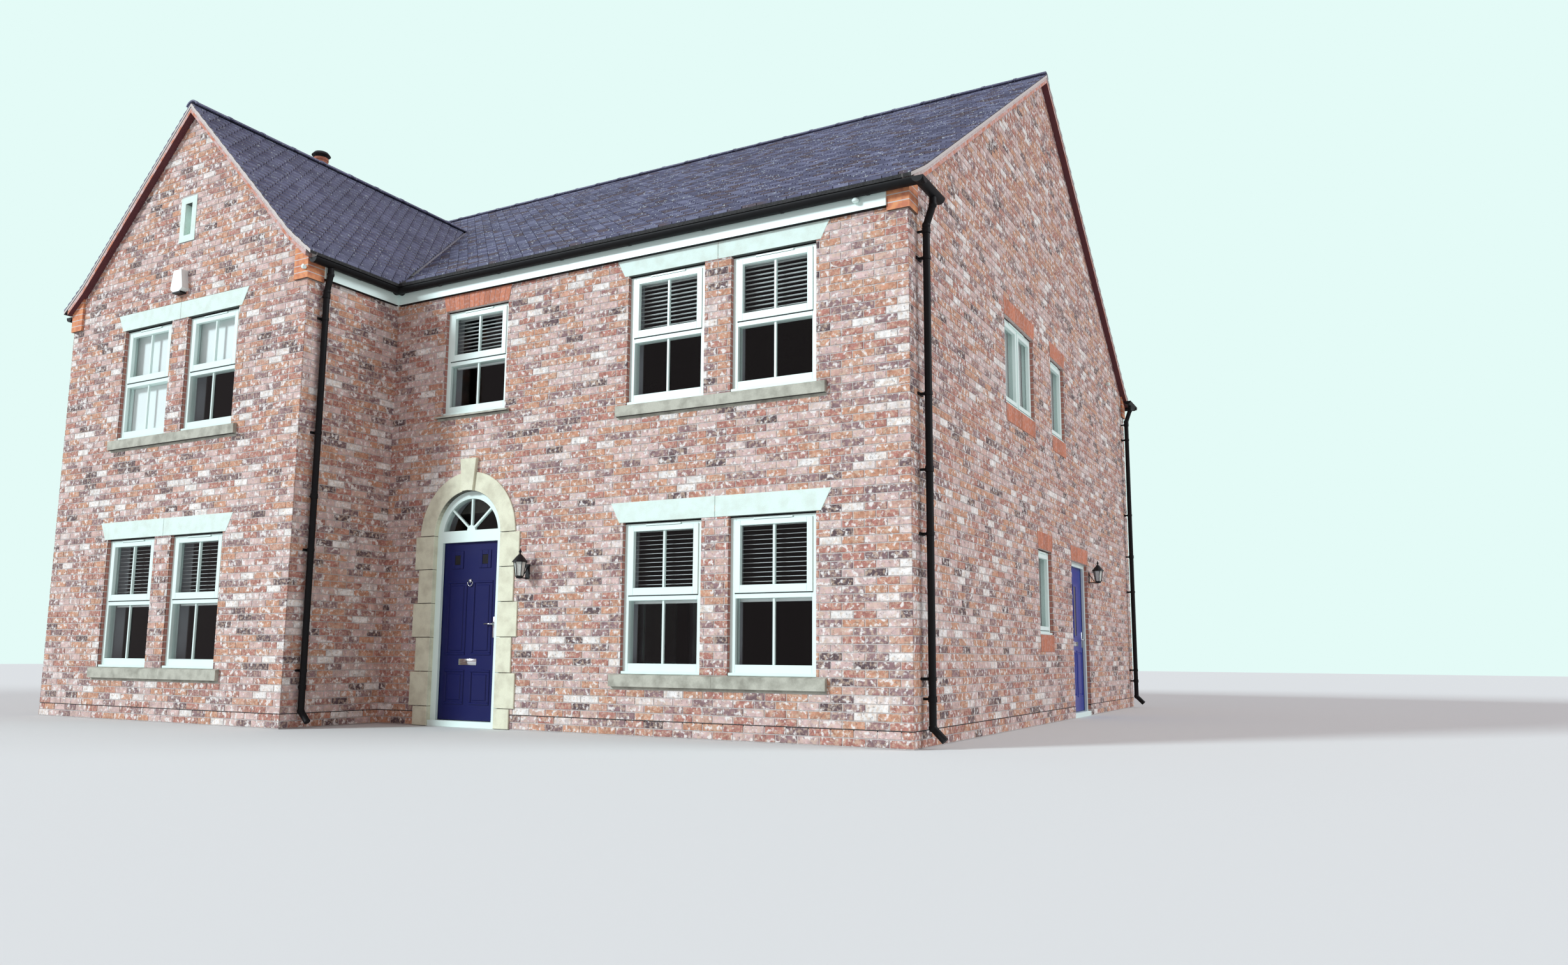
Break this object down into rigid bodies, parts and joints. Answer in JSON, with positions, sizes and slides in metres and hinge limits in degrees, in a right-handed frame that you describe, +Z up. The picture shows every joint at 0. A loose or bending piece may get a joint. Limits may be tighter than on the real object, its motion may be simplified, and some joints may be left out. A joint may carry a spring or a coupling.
{
  "type": "detached house",
  "caption": "Two-storey brick house with a projecting gabled wing, an arched stone front doorway and a tiled gable roof; its front and side doors open inwards.",
  "frame": {"origin": "on the ground at the middle of the house's plan, the wing included", "axes": "+Z up; the front looks along -Y; +X runs from the wing's gable to the side door's"},
  "size_m": [11.448, 11.709, 8.7219],
  "materials": {
    "facing_brick": "multi-coloured facing brick in mortar",
    "concrete": "floated concrete",
    "floor_boards": "plain boards",
    "roof_tile": "weathered plain tiles",
    "ridge_tile": "weathered clay",
    "lead": "dull sheet lead",
    "verge_mortar": "pointed cement mortar on an undercloak",
    "white_upvc": "white, slightly glossy",
    "black_upvc": "black, slightly glossy",
    "white_frame": "white, satin",
    "window_glass": "clear double glazing",
    "cast_stone": "buff cast stone",
    "sill_stone": "weathered cast stone",
    "orange_brick": "smooth orange brick",
    "blue_door": "dark blue paint",
    "alarm_plastic": "off-white moulded case",
    "lantern_black": "black enamel",
    "terracotta": "unglazed terracotta"
  },
  "bodies": {
    "house": {"front_wall_left": "facing_brick", "front_wall_right": "facing_brick", "front_wall_over_door": "facing_brick", "wing_front_wall": "facing_brick", "wing_side_wall": "facing_brick", "left_gable_wall": "facing_brick", "side_wall_front": "facing_brick", "side_wall_back": "facing_brick", "side_wall_over_door": "facing_brick", "right_gable_wall": "facing_brick", "back_wall": "facing_brick", "ground_floor": "concrete", "first_floor": "floor_boards", "main_roof_front": "roof_tile", "main_roof_back": "roof_tile", "wing_roof_left": "roof_tile", "wing_roof_right": "roof_tile", "ridge_tiles": "ridge_tile", "valley_lead": "lead", "wing_verge": "verge_mortar", "right_verge": "verge_mortar", "left_verge": "verge_mortar", "fascias": "white_upvc", "gutters": "black_upvc", "downpipes": "black_upvc", "front_windows": "white_frame", "side_windows": "white_frame", "rear_windows": "white_frame", "front_glass": "window_glass", "side_glass": "window_glass", "rear_glass": "window_glass", "stone_lintels": "cast_stone", "stone_sills": "sill_stone", "brick_arches": "orange_brick", "kneelers": "orange_brick", "door_surround": "cast_stone", "front_door_frame": "white_frame", "side_door_frame": "white_frame", "slit_vent": "cast_stone", "alarm_box": "alarm_plastic", "lanterns": "lantern_black", "chimney_stack": "facing_brick", "chimney_pot": "terracotta"},
    "front_door_leaf": {"front_door": "blue_door"},
    "side_door_leaf": {"side_door": "blue_door"}
  },
  "joints": [
    {"name": "front_door_hinge", "type": "hinge", "parent": "house", "child": "front_door_leaf", "pos_m": [-0.1735, -4.2915, 1.05], "axis": [0, 0, 1], "range_deg": [0, 100]},
    {"name": "side_door_hinge", "type": "hinge", "parent": "house", "child": "side_door_leaf", "pos_m": [5.369, 1.617, 1.05], "axis": [0, 0, 1], "range_deg": [0, 100]}
  ]
}
